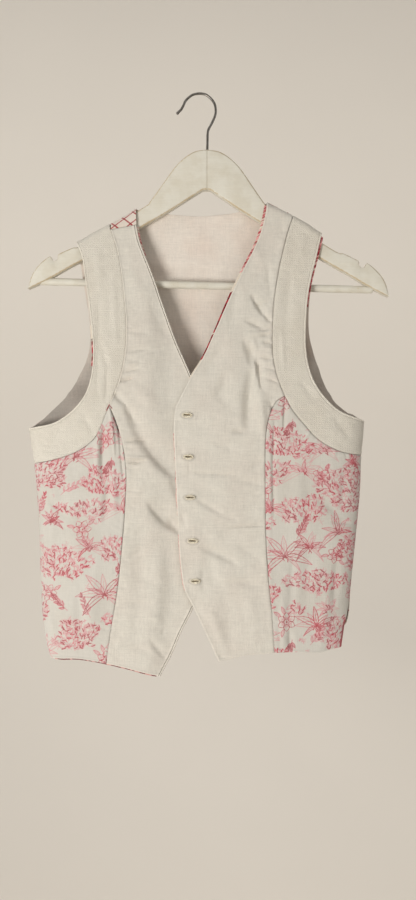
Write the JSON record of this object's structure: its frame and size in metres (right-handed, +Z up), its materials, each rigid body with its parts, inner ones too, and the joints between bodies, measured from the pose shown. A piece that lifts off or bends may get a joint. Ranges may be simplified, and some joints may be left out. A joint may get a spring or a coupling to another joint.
{
  "type": "gilet on a clothes hanger",
  "caption": "Sleeveless gilet with a V neck, buttoned front, printed side fronts and plain armhole bands, hanging on a painted wooden hanger with a steel hook.",
  "frame": {"origin": "inside top of the hanger's hook, on the rail that it hangs from", "axes": "+Z up, -Y the front of the gilet, +X the wearer's left"},
  "size_m": [0.4305, 0.0519, 0.6959],
  "materials": {
    "linen": "plain woven cream linen",
    "huckaback": "coarse woven cream linen",
    "print_cloth": "white cotton with a red line print",
    "lining": "pinkish cream linen",
    "check_cloth": "cream cloth with red windowpane lines",
    "facing_cloth": "red checked cotton",
    "button": "tan horn-like",
    "painted_wood": "cream paint, a little worn",
    "steel": "dulled bright steel"
  },
  "bodies": {
    "root": {"front_right": "linen", "front_left": "linen", "side_front_right": "print_cloth", "side_front_left": "print_cloth", "armhole_band_right": "huckaback", "armhole_band_left": "huckaback", "back": "check_cloth", "back_lining": "lining", "facing_neck_left": "facing_cloth", "facing_neck_right": "facing_cloth", "facing_armhole_left": "facing_cloth", "facing_armhole_right": "facing_cloth", "facing_edge_left": "facing_cloth", "facing_hem_right": "facing_cloth", "button_1": "button", "button_2": "button", "button_3": "button", "button_4": "button", "button_5": "button", "hanger_body": "painted_wood", "hanger_bar": "painted_wood", "hanger_hook": "steel"}
  },
  "joints": []
}
